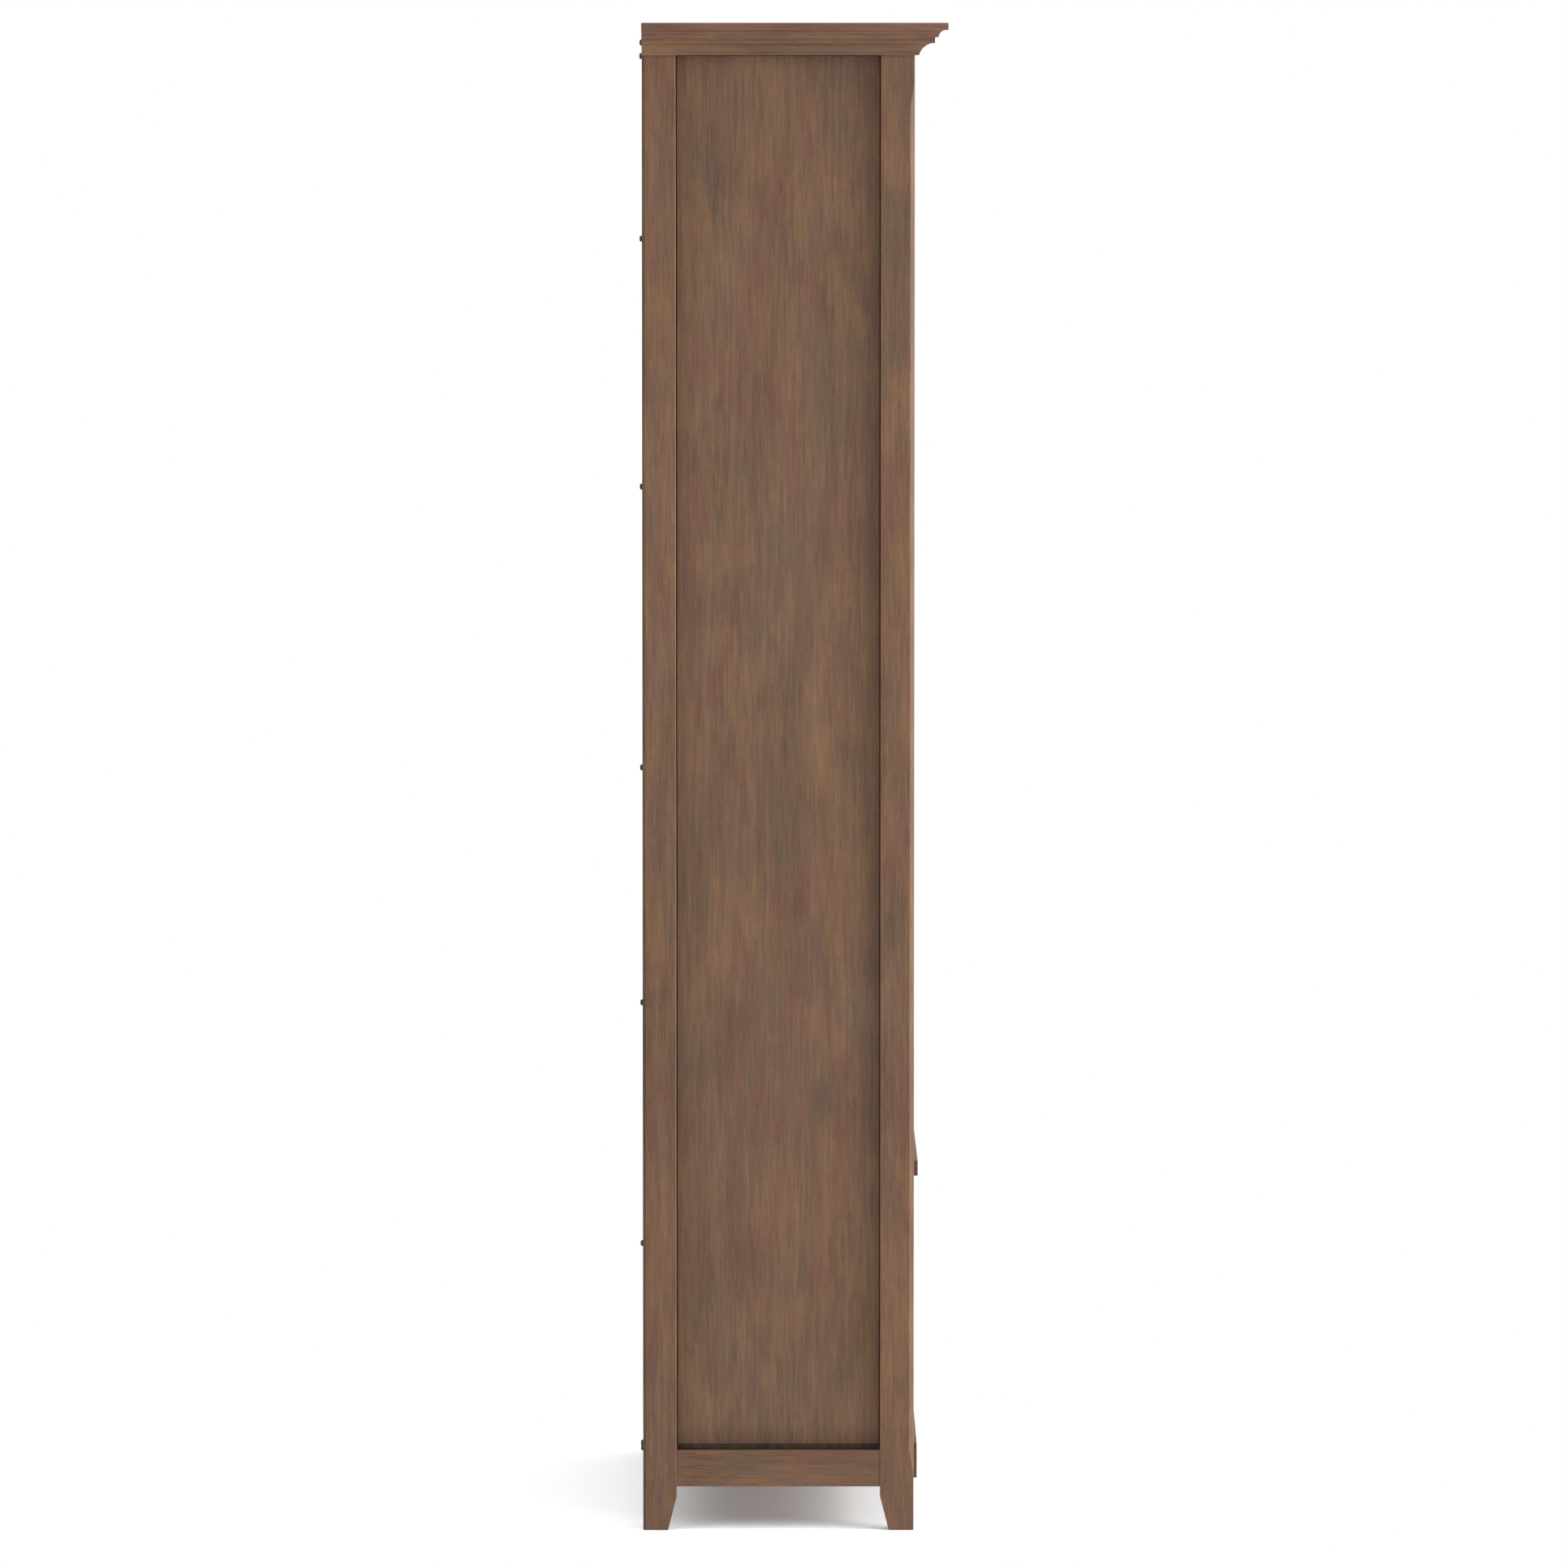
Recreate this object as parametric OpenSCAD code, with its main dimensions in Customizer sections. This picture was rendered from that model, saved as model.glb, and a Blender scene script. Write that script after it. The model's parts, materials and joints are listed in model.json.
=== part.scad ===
// Pantry cabinet: two frame-and-panel sides, inset doors above and below a fixed shelf,
// and a mitred crown. Front faces -Y, width runs along X, the floor is Z = 0.

/* [Cabinet] */
// Width over the outer faces of the side frames
body_w = 682; // [560:1:900]
// Depth over the front and back faces of the legs
body_d = 329; // [280:1:450]
// Height from the floor to the top of the crown
body_h = 1829; // [1600:1:2100]
// Thickness of the top board
top_t = 15; // [12:0.5:20]
// Thickness of the bottom board and of the adjustable shelves
board_t = 18; // [12:0.5:22]
// Thickness of the back panels
back_t = 5; // [3:0.5:8]
// How far the back panels lap onto the back legs
back_lap = 12; // [8:0.5:14]

/* [Side frames] */
// Width of a leg, front to back
leg_w = 40.8; // [38:0.1:60]
// Thickness of a leg, side to side
leg_t = 22; // [20:0.5:30]
// Height of the tapered foot
foot_h = 41.4; // [20:0.1:48]
// How much narrower the foot is at the floor
foot_taper = 10.4; // [0:0.1:14]
// Height of the lower side rail's underside above the floor
side_rail_z = 53.5; // [50:0.1:70]
// Height of the lower side rail
side_rail_h = 44.7; // [30:0.1:70]
// How far the side rails lie behind the legs' outer faces
side_rail_setback = 1.5; // [0:0.1:3]
// Thickness of the side panels, whose inner faces are flush with the legs
side_panel_t = 5.6; // [4:0.1:8]
// How far the side panels lap onto the legs
panel_lap = 6; // [4:0.5:6]
// Width of the stopped chamfer on each front leg
chamfer_w = 4.6; // [2:0.1:6]
// Length of the chamfer's run-out at each end
chamfer_stop = 28.5; // [10:0.5:40]
// Height of the chamfer's lower end above the floor
chamfer_z = 70.2; // [50:0.1:100]
// Distance of the chamfer's upper end below the crown
chamfer_top_gap = 33.5; // [10:0.1:60]
// Length of the rails' tenons
tenon_l = 10; // [6:0.5:11]
// Thickness of the rails' tenons
tenon_t = 8; // [5:0.5:9]
// Shoulder above and below each tenon
tenon_shoulder = 5; // [3:0.5:7]

/* [Front rails] */
// Depth of the bottom rail and of the middle edging, front to back
front_rail_t = 22; // [18:0.5:26]
// Height of the bottom rail's underside above the floor
front_rail_z = 61.3; // [50:0.1:70]
// Height of the bottom rail
front_rail_h = 42.7; // [36:0.1:60]
// How far the bottom rail stands in front of the legs
bottom_proud = 4.2; // [0:0.1:8]
// Height of the fixed middle shelf's underside above the floor
middle_z = 431.5; // [340:0.1:520]
// Thickness of the fixed middle shelf and its edging
middle_t = 18.4; // [16:0.1:22]
// How far the middle edging stands in front of the legs
middle_proud = 4.9; // [0:0.1:8]
// Height of the top rail below the crown
top_rail_h = 59; // [40:1:80]
// Depth of the top rail, front to back
top_rail_t = 40; // [36:0.5:45]
// How far the top rail lies behind the legs' front faces
top_rail_setback = 1; // [0:0.1:2]
// Height of the top back rail
back_rail_h = 50; // [36:1:70]
// Thickness of the back rails
back_rail_t = 18; // [16:0.5:22]

/* [Crown] */
// How far the crown stands out from the legs
crown_over = 39.6; // [34:0.1:50]
// Height of the crown's top fillet
crown_top_h = 8.8; // [6:0.1:14]
// Flat underside between the top fillet and the upper cove
crown_lip = 2.9; // [1:0.1:4]
// Width of the upper cove
crown_cove_w = 8.7; // [6:0.1:9]
// Height of the upper cove
crown_cove_h = 8.7; // [4:0.1:12]
// Step between the upper cove and the middle fillet
crown_step = 4.25; // [2:0.05:6]
// Height of the middle fillet
crown_mid_h = 7; // [4:0.1:10]
// Flat underside between the middle fillet and the lower cove
crown_mid_lip = 4.25; // [1:0.05:5]
// Height of the lower cove
crown_low_h = 14.5; // [12:0.1:18]
// Radius of the lower cove's arc
crown_low_r = 20.8; // [18:0.1:30]
// How far the crown's bottom edge stands out from the legs
crown_foot = 4.7; // [2:0.1:6]

/* [Doors] */
// Thickness of the doors
door_t = 20; // [18:0.5:22]
// How far the doors lie behind the legs' front faces
door_setback = 3; // [2.5:0.1:4]
// Gap around and between the doors
door_gap = 2.5; // [2:0.1:3.5]
// Width of the door stiles
stile_w = 55; // [45:1:75]
// Width of the door rails
door_rail_w = 58; // [45:1:80]
// Thickness of the door panels
door_panel_t = 6; // [4:0.5:8]
// Depth of the grooves that hold the door panels
groove_d = 9; // [6:0.5:12]
// Play between a door panel's edge and the bottom of its groove
panel_play = 1; // [0.5:0.1:2]

/* [Hinges] */
// Length of a hinge leaf
hinge_l = 50; // [40:1:60]
// Width of a hinge leaf from the pin's axis
leaf_w = 17; // [14:0.5:18]
// Thickness of a hinge leaf
leaf_t = 1.4; // [1.2:0.1:1.6]
// Outer radius of the hinge knuckles
knuckle_r = 2.9; // [2.6:0.1:3.1]
// Radius of the hinge pins
hinge_pin_r = 1.3; // [1:0.1:1.5]
// Radial clearance between a hinge pin and its knuckles
pin_clearance = 0.05; // [0.03:0.01:0.1]
// Distance of the pin's axis in front of the door's face
axis_proud = 0.4; // [0.3:0.1:1]
// Gap between two knuckles
knuckle_gap = 0.3; // [0.2:0.05:0.5]
// Room left in the wood around a knuckle
knuckle_room = 0.3; // [0.2:0.05:0.5]
// Distance of an upper door's outer hinges from its ends
upper_hinge_inset = 110; // [80:1:200]
// Distance of a lower door's hinges from its ends
lower_hinge_inset = 62; // [50:1:90]

/* [Ring pulls and catches] */
// Diameter of a pull's round plate
plate_d = 36; // [32:0.5:44]
// Thickness of a pull's plate
plate_t = 1.6; // [1.2:0.1:2]
// Radius of the ring, to the middle of its wire
ring_r = 13; // [10:0.5:16]
// Radius of the ring's wire
wire_r = 1.5; // [1.2:0.1:1.8]
// Radial clearance of the ring's wire in the eye
eye_clearance = 0.5; // [0.4:0.05:0.6]
// Wall of the eye around the wire
eye_wall = 1.2; // [1:0.1:1.5]
// Length of the eye along the door's width
eye_l = 4; // [3:0.5:5]
// Gap between the hanging ring and its plate
ring_gap = 0.3; // [0.2:0.05:0.6]
// Height of the upper doors' pulls above the fixed shelf
upper_pull_rise = 560; // [300:5:800]
// Distance of the lower doors' pulls below the fixed shelf
lower_pull_drop = 95; // [80:1:130]
// Distance of a magnetic catch from the middle of the cabinet
catch_x = 45; // [30:1:80]
// Width, depth and height of a magnetic catch
catch_size = [28, 13, 12];
// Thickness of the strike plates on the doors
strike_t = 1.2; // [0.8:0.1:2]
// Gap between a strike plate and its magnet
strike_gap = 0.3; // [0.2:0.1:0.6]

/* [Shelves] */
// Gap between a shelf's end and the side
shelf_gap = 1; // [0.5:0.1:2]
// Gap between the closed doors and a shelf's front edge
shelf_front_gap = 3; // [2.5:0.1:3]
// Gap between a shelf's back edge and the back panel
shelf_back_gap = 2; // [1:0.5:6]
// Radius of the shelf pins
pin_r = 2.45; // [2:0.05:3]
// Radial clearance of the shelf pins in their holes
pin_hole_clearance = 0.05; // [0.03:0.01:0.1]
// Depth of the shelf-pin holes
pin_hole_d = 11; // [8:0.5:14]
// How far a shelf pin reaches under the shelf
pin_reach = 8; // [6:0.5:12]
// Half the width of a shelf pin's flat
pin_flat = 3; // [2.6:0.1:3]
// Thickness of a shelf pin's flat
pin_flat_t = 1.6; // [1:0.1:2]
// Distance of the front shelf pins behind the shelves' front edges
pin_inset = 0.5; // [0.5:0.1:4]
// Wood between a shelf-pin hole and the back screws
pin_wall = 5; // [3:0.5:8]
// Distance between two shelf-pin holes, one above the other
pin_pitch = 50; // [32:1:60]

/* [Back screws] */
// Radius of a back screw's head
screw_head_r = 3.8; // [3:0.1:5]
// Height of a back screw's head
screw_head_h = 2.9; // [2:0.1:4]
// Radius of a back screw's shank
screw_r = 1.7; // [1.2:0.1:2]
// Length of a back screw under its head
screw_l = 17; // [14:1:20]
// Room around a screw in its hole
screw_clearance = 0.05; // [0.02:0.01:0.1]
// Distance of the side screws from the outer face
screw_edge = 16; // [14:0.5:17]
// Heights of the side screws above the floor
screw_heights = [105.3, 349.9, 643.8, 929.7, 1270, 1569.3];
// Distance of the topmost side screws below the top
screw_top_drop = 40; // [36:0.1:50]
// Distance of the outermost screws of the top and bottom rows from the side frames
end_row_inset = 4; // [3:0.5:10]
// Distance of the outermost screws beside the seam from the side frames
seam_row_inset = 189; // [150:1:200]
// Distance of the top row of screws below the top
top_row_drop = 23.8; // [22:0.1:30]
// Distance of the bottom row of screws below the bottom board's upper face
bottom_row_drop = 5.9; // [5:0.1:12]

/* [Hidden] */

FRAME_WOOD = "#7a5e4b";
PANEL_WOOD = "#735846";
DARK_METAL = "#3a2e27";
STEEL = "#9a9a98";

$fn = 32;
eps = 1;                 // how far a cutter runs past the face it opens
arc_steps = 8;           // straight pieces in each cove

// main planes
front_y = (crown_over - body_d - screw_head_h) / 2;   // legs' front faces
back_y = front_y + body_d;                            // legs' back faces
out_x = body_w / 2;                                   // legs' outer faces
in_x = out_x - leg_t;                                 // legs' and side panels' inner faces
top_z = body_h - top_t;                               // top of the legs
crown_h = crown_top_h + crown_cove_h + crown_mid_h + crown_low_h;
crown_z = body_h - crown_h;                           // bottom edge of the crown
bottom_top_z = front_rail_z + front_rail_h;           // upper face of the bottom board
middle_top_z = middle_z + middle_t;                   // upper face of the middle shelf
top_rail_z = crown_z - top_rail_h;                    // underside of the top rail
back_in_y = back_y - back_t;                          // inner faces of the back panels
seam_z = middle_z + middle_t / 2;                     // joint between the back panels

// doors
door_y = front_y + door_setback;                      // doors' front faces
door_back_y = door_y + door_t;
hinge_edge_x = -in_x + door_gap;                      // hinge edge of a left door
door_w = in_x - 1.5 * door_gap;
lock_edge_x = hinge_edge_x + door_w;
panel_y = door_y + (door_t - door_panel_t) / 2;
axis_x = -in_x + door_gap / 2;
axis_y = door_y - axis_proud;
upper_door_z = [middle_top_z + door_gap, top_rail_z - door_gap];
lower_door_z = [bottom_top_z + door_gap, middle_z - door_gap];
upper_hinges = [
    upper_door_z[0] + upper_hinge_inset,
    (upper_door_z[0] + upper_door_z[1]) / 2,
    upper_door_z[1] - upper_hinge_inset
];
lower_hinges = [lower_door_z[0] + lower_hinge_inset, lower_door_z[1] - lower_hinge_inset];
knuckle_l = hinge_l / 3;
pin_tip = 1.5;                                        // length of a hinge pin's end cap
pin_tip_r = (hinge_pin_r + knuckle_r) / 2;
relief_r = knuckle_r + knuckle_room;

// pulls, strikes and catches
pull_x = lock_edge_x - stile_w / 2;
upper_pull_z = middle_top_z + upper_pull_rise;
lower_pull_z = middle_z - lower_pull_drop;
eye_r = wire_r + eye_clearance;
eye_y = door_y - plate_t - ring_gap - wire_r;         // middle of the wire in front of the plate
eye_rise = ring_r / 2;                                // eye above the middle of its plate
strike_h = 12;
strike_w = 26;
strike_drop = 2;                                      // strike's top edge below the door's

// shelves and their pins
upper_shelves = 3;                                    // one node each, so the number is fixed
shelf_y = [door_back_y + shelf_front_gap, back_in_y - shelf_back_gap];
upper_pitch = (top_rail_z - middle_top_z) / (upper_shelves + 1);
upper_shelf_z = [for (i = [1:upper_shelves]) middle_top_z + i * upper_pitch - board_t / 2];
lower_shelf_z = (bottom_top_z + middle_z - board_t) / 2;
shelf_zs = concat(upper_shelf_z, [lower_shelf_z]);
pin_ys = [shelf_y[0] + pin_flat + pin_inset, back_y - screw_l - pin_wall - pin_r];
pin_end_gap = 0.5;                                    // between a pin's end and its hole's bottom

// back screws
end_row_x = in_x - end_row_inset;
seam_row_x = in_x - seam_row_inset;
end_row_zs = [bottom_top_z - bottom_row_drop, body_h - top_row_drop];
seam_row_zs = [seam_z - middle_t / 4, seam_z + middle_t / 4];
side_screw_zs = concat(screw_heights, [body_h - screw_top_drop]);

// ---- helpers ----

// a block between two x, two y and two z values
module block(x, y, z) {
    translate([x[0], y[0], z[0]]) cube([x[1] - x[0], y[1] - y[0], z[1] - z[0]]);
}

// an outline of y and z values, extruded from x to x + w
module along_x(x, w) {
    translate([x, 0, 0]) rotate([90, 0, 90]) linear_extrude(w) children();
}

// an outline of x and z values, extruded from y to y + l
module along_y(y, l) {
    translate([0, y + l, 0]) rotate([90, 0, 0]) linear_extrude(l) children();
}

module on_right() {
    mirror([1, 0, 0]) children();
}

// points on a circle's or ellipse's arc; r holds its two radii
function arc(centre, r, a0, a1) = [
    for (i = [0:arc_steps]) let (a = a0 + (a1 - a0) * i / arc_steps)
        [centre[0] + r[0] * cos(a), centre[1] + r[1] * sin(a)]
];

// ---- joints cut or made in more than one piece ----

// tenons of one side rail: a bar that runs into both legs
module side_tenons(z, h) {
    rail_t = leg_t - side_panel_t - side_rail_setback;
    x = -out_x + side_rail_setback + (rail_t - tenon_t) / 2;
    block([x, x + tenon_t], [front_y + leg_w - tenon_l, back_y - leg_w + tenon_l],
          [z + tenon_shoulder, z + h - tenon_shoulder]);
}

// tenons of a rail that runs across the cabinet
module cross_tenons(y, t, z, h) {
    block([-in_x - tenon_l, in_x + tenon_l], [y + (t - tenon_t) / 2, y + (t + tenon_t) / 2],
          [z + tenon_shoulder, z + h - tenon_shoulder]);
}

module top_rail_tenons() {
    cross_tenons(front_y + top_rail_setback, top_rail_t / 2, top_rail_z, top_z - top_rail_z);
}

module bottom_rail_tenons() {
    cross_tenons(front_y, tenon_t * 2, front_rail_z, front_rail_h);
}

module back_rail_top_tenons() {
    cross_tenons(back_in_y - back_rail_t, back_rail_t, top_z - back_rail_h, back_rail_h);
}

// one hinge's room in the wood: a leaf's recess and the hollow around the knuckles
module hinge_cut(z, leaf_x) {
    block([leaf_x, leaf_x + leaf_t], [axis_y, axis_y + leaf_w], [z - hinge_l / 2, z + hinge_l / 2]);
    translate([axis_x, axis_y, z - hinge_l / 2 - pin_tip - knuckle_room])
        cylinder(r = relief_r, h = hinge_l + 2 * (pin_tip + knuckle_room));
}

// holes for the left side's shelf pins
module pin_holes() {
    for (z = shelf_zs, y = pin_ys, k = [-1:1])
        translate([-in_x - pin_hole_d, y, z - pin_r + k * pin_pitch])
            rotate([0, 90, 0]) cylinder(r = pin_r + pin_hole_clearance, h = pin_hole_d + eps);
}

module at_back_screws() {
    for (s = [-1, 1], z = side_screw_zs)
        translate([s * (out_x - screw_edge), back_y, z]) children();
    for (i = [-3:2:3], z = end_row_zs)
        translate([i * end_row_x / 3, back_y, z]) children();
    for (i = [-3:2:3], z = seam_row_zs)
        translate([i * seam_row_x / 3, back_y, z]) children();
}

module back_screw_holes() {
    at_back_screws() rotate([90, 0, 0])
        translate([0, 0, -eps]) cylinder(r = screw_r + screw_clearance, h = screw_l + 2 * eps);
}

// ---- side frames ----

// side view of a leg: u runs from its outer edge towards the middle of the side
function leg_outline(y, s) = [
    [y, 0], [y + s * (leg_w - foot_taper), 0], [y + s * leg_w, foot_h], [y + s * leg_w, top_z], [y, top_z]
];

// the stopped chamfer along a front leg's outer edge
module chamfer_cut() {
    c = chamfer_w / sqrt(2);
    z1 = crown_z - chamfer_top_gap;
    translate([-out_x, front_y, 0]) rotate([0, 0, 45]) along_y(-chamfer_w, 2 * chamfer_w)
        polygon([[-eps, chamfer_z], [0, chamfer_z], [c, chamfer_z + chamfer_stop],
                 [c, z1 - chamfer_stop], [0, z1], [-eps, z1]]);
}

module side_panel_blank() {
    block([-in_x - side_panel_t, -in_x], [front_y + leg_w - panel_lap, back_y - leg_w + panel_lap],
          [side_rail_z, top_z]);
}

module side_rail(z, h) {
    block([-out_x + side_rail_setback, -in_x - side_panel_t],
          [front_y + leg_w, back_y - leg_w], [z, z + h]);
    side_tenons(z, h);
}

module all_side_tenons() {
    side_tenons(side_rail_z, side_rail_h);
    side_tenons(crown_z, top_z - crown_z);
}

module front_leg() {
    difference() {
        along_x(-out_x, leg_t) polygon(leg_outline(front_y, 1));
        chamfer_cut();
        side_panel_blank();
        all_side_tenons();
        top_rail_tenons();
        bottom_rail_tenons();
        pin_holes();
        for (z = concat(upper_hinges, lower_hinges)) hinge_cut(z, -in_x - leaf_t);
    }
}

module back_leg() {
    difference() {
        along_x(-out_x, leg_t) polygon(leg_outline(back_y, -1));
        side_panel_blank();
        all_side_tenons();
        back_rail_top_tenons();
        back_panel_blank(side_rail_z, top_z);
        pin_holes();
        back_screw_holes();
    }
}

module leg_front_left() { color(FRAME_WOOD) front_leg(); }
module leg_front_right() { color(FRAME_WOOD) on_right() front_leg(); }
module leg_back_left() { color(FRAME_WOOD) back_leg(); }
module leg_back_right() { color(FRAME_WOOD) on_right() back_leg(); }
module side_panel_left() { color(PANEL_WOOD) side_panel_blank(); }
module side_panel_right() { color(PANEL_WOOD) on_right() side_panel_blank(); }
module side_rail_lower_left() { color(FRAME_WOOD) side_rail(side_rail_z, side_rail_h); }
module side_rail_lower_right() { color(FRAME_WOOD) on_right() side_rail(side_rail_z, side_rail_h); }
module side_rail_upper_left() { color(FRAME_WOOD) side_rail(crown_z, top_z - crown_z); }
module side_rail_upper_right() { color(FRAME_WOOD) on_right() side_rail(crown_z, top_z - crown_z); }

// ---- rails and boards ----

module front_rail_top() {
    y = front_y + top_rail_setback;
    color(FRAME_WOOD) union() {
        block([-in_x, in_x], [y, y + top_rail_t], [top_rail_z, top_z]);
        top_rail_tenons();
    }
}

module front_rail_middle() {
    y = front_y - middle_proud;
    color(FRAME_WOOD) block([-in_x, in_x], [y, y + front_rail_t], [middle_z, middle_top_z]);
}

module front_rail_bottom() {
    y = front_y - bottom_proud;
    color(FRAME_WOOD) union() {
        block([-in_x, in_x], [y, y + front_rail_t], [front_rail_z, bottom_top_z]);
        bottom_rail_tenons();
    }
}

module back_rail_top() {
    color(FRAME_WOOD) difference() {
        union() {
            block([-in_x, in_x], [back_in_y - back_rail_t, back_in_y], [top_z - back_rail_h, top_z]);
            back_rail_top_tenons();
        }
        back_screw_holes();
    }
}

module back_rail_bottom() {
    color(FRAME_WOOD)
        block([-in_x, in_x], [back_in_y - back_rail_t, back_in_y], [front_rail_z, bottom_top_z - board_t]);
}

module top_board() {
    color(FRAME_WOOD) block([-out_x, out_x], [front_y, back_y], [top_z, body_h]);
}

module middle_board() {
    color(PANEL_WOOD) difference() {
        block([-in_x, in_x], [front_y - middle_proud + front_rail_t, back_in_y], [middle_z, middle_top_z]);
        back_screw_holes();
    }
}

module bottom_board() {
    color(PANEL_WOOD) difference() {
        block([-in_x, in_x], [front_y - bottom_proud + front_rail_t, back_in_y],
              [bottom_top_z - board_t, bottom_top_z]);
        back_screw_holes();
    }
}

module back_panel_blank(z0, z1) {
    block([-in_x - back_lap, in_x + back_lap], [back_in_y, back_y], [z0, z1]);
}

module back_panel_upper() {
    color(PANEL_WOOD) difference() {
        back_panel_blank(seam_z, top_z);
        back_screw_holes();
    }
}

module back_panel_lower() {
    color(PANEL_WOOD) difference() {
        back_panel_blank(side_rail_z, seam_z);
        back_screw_holes();
    }
}

// ---- crown ----

// profile of the crown: u is the distance from the legs, v the height
function crown_profile() = let (
    low_x = crown_foot,
    mid_z = crown_z + crown_low_h,
    cove_x = crown_over - crown_lip,
    mid_x = cove_x - crown_cove_w - crown_step,
    high_x = mid_x - crown_mid_lip,
    cove_z = mid_z + crown_mid_h,
    // centre of the lower cove's arc, from its two ends and its radius
    half = [(high_x - low_x) / 2, crown_low_h / 2],
    half_l = norm(half),
    off = sqrt(crown_low_r * crown_low_r - half_l * half_l),
    low_c = [low_x + half[0] + off * half[1] / half_l, crown_z + half[1] - off * half[0] / half_l],
    low_a0 = atan2(crown_z - low_c[1], low_x - low_c[0]),
    low_a1 = atan2(mid_z - low_c[1], high_x - low_c[0])
) concat(
    [[0, crown_z]],
    arc(low_c, [crown_low_r, crown_low_r], low_a0, low_a1),
    [[mid_x, mid_z], [mid_x, cove_z]],
    arc([cove_x, cove_z], [crown_cove_w, crown_cove_h], 180, 90),
    [[crown_over, cove_z + crown_cove_h], [crown_over, body_h], [0, body_h]]
);

module crown_front() {
    far = crown_over;
    color(FRAME_WOOD) intersection() {
        along_x(-out_x - far, 2 * (out_x + far))
            polygon([for (p = crown_profile()) [front_y - p[0], p[1]]]);
        translate([0, 0, crown_z - eps]) linear_extrude(crown_h + 2 * eps)
            polygon([[-out_x, front_y], [-out_x - far, front_y - far], [out_x + far, front_y - far],
                     [out_x, front_y]]);
    }
}

module crown_side() {
    far = crown_over;
    intersection() {
        along_y(front_y - far, body_d + far)
            polygon([for (p = crown_profile()) [-out_x - p[0], p[1]]]);
        translate([0, 0, crown_z - eps]) linear_extrude(crown_h + 2 * eps)
            polygon([[-out_x, front_y], [-out_x - far, front_y - far], [-out_x - far, back_y],
                     [-out_x, back_y]]);
    }
}

module crown_left() { color(FRAME_WOOD) crown_side(); }
module crown_right() { color(FRAME_WOOD) on_right() crown_side(); }

// ---- shelves ----

module shelf(z) {
    x = in_x - shelf_gap;
    color(PANEL_WOOD) block([-x, x], shelf_y, [z, z + board_t]);
}

module shelf_upper_1() { shelf(upper_shelf_z[0]); }
module shelf_upper_2() { shelf(upper_shelf_z[1]); }
module shelf_upper_3() { shelf(upper_shelf_z[2]); }
module shelf_lower() { shelf(lower_shelf_z); }

module shelf_pin() {
    translate([-in_x - pin_hole_d + pin_end_gap, 0, -pin_r])
        rotate([0, 90, 0]) cylinder(r = pin_r, h = pin_hole_d - pin_end_gap + pin_reach);
    block([-in_x, -in_x + pin_reach], [-pin_flat, pin_flat], [-pin_flat_t, 0]);
}

module side_shelf_pins() {
    for (z = shelf_zs, y = pin_ys) translate([0, y, z]) shelf_pin();
}

module shelf_pins() {
    color(STEEL) union() {
        side_shelf_pins();
        on_right() side_shelf_pins();
    }
}

// ---- back screws ----

module back_screw() {
    dome = [for (i = [0:arc_steps]) let (a = 90 * i / arc_steps)
        [screw_head_r * cos(a), screw_head_h * sin(a)]];
    rotate([-90, 0, 0]) {
        rotate_extrude() polygon(concat([[0, 0]], dome));
        translate([0, 0, -screw_l]) cylinder(r = screw_r, h = screw_l + screw_head_h / 2);
    }
}

module back_screws() {
    color(DARK_METAL) at_back_screws() back_screw();
}

// ---- hinges ----

// the knuckles that belong to one leaf: the middle one on the frame, the outer two on the door
module knuckles(z, middle) {
    zs = middle ? [0] : [-1, 1];
    for (k = zs)
        translate([axis_x, axis_y, z + (k - 0.5) * knuckle_l + knuckle_gap / 2])
            cylinder(r = knuckle_r, h = knuckle_l - knuckle_gap);
}

// room for the other leaf's knuckles
module knuckle_cut(z, middle) {
    zs = middle ? [-1, 1] : [0];
    for (k = zs)
        translate([axis_x, axis_y, z + (k - 0.5) * knuckle_l - knuckle_gap / 2])
            cylinder(r = relief_r, h = knuckle_l + knuckle_gap);
}

module leaf(z, leaf_x, middle) {
    difference() {
        union() {
            difference() {
                block([leaf_x, leaf_x + leaf_t], [axis_y, axis_y + leaf_w],
                      [z - hinge_l / 2, z + hinge_l / 2]);
                knuckle_cut(z, middle);
            }
            knuckles(z, middle);
        }
        translate([axis_x, axis_y, z - hinge_l])
            cylinder(r = hinge_pin_r + pin_clearance, h = 2 * hinge_l);
    }
}

module frame_leaves() {
    for (z = concat(upper_hinges, lower_hinges)) leaf(z, -in_x - leaf_t, true);
}

module hinge_frame_leaves() {
    color(DARK_METAL) union() {
        frame_leaves();
        on_right() frame_leaves();
    }
}

module side_hinge_pins() {
    for (z = concat(upper_hinges, lower_hinges)) translate([axis_x, axis_y, z - hinge_l / 2]) {
        cylinder(r = hinge_pin_r, h = hinge_l);
        translate([0, 0, -pin_tip]) cylinder(r1 = hinge_pin_r, r2 = pin_tip_r, h = pin_tip);
        translate([0, 0, hinge_l]) cylinder(r1 = pin_tip_r, r2 = hinge_pin_r, h = pin_tip);
    }
}

module hinge_pins() {
    color(DARK_METAL) union() {
        side_hinge_pins();
        on_right() side_hinge_pins();
    }
}

// ---- door parts, drawn for a left door that fills the height from z[0] to z[1] ----

module door_groove(z) {
    block([hinge_edge_x + stile_w - groove_d, lock_edge_x - stile_w + groove_d],
          [panel_y, panel_y + door_panel_t], z);
}

module door_stiles(z, hinge_zs) {
    y = [door_y, door_back_y];
    difference() {
        union() {
            block([hinge_edge_x, hinge_edge_x + stile_w], y, z);
            block([lock_edge_x - stile_w, lock_edge_x], y, z);
        }
        door_groove([z[0] - eps, z[1] + eps]);
        for (h = hinge_zs) hinge_cut(h, hinge_edge_x);
    }
}

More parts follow.
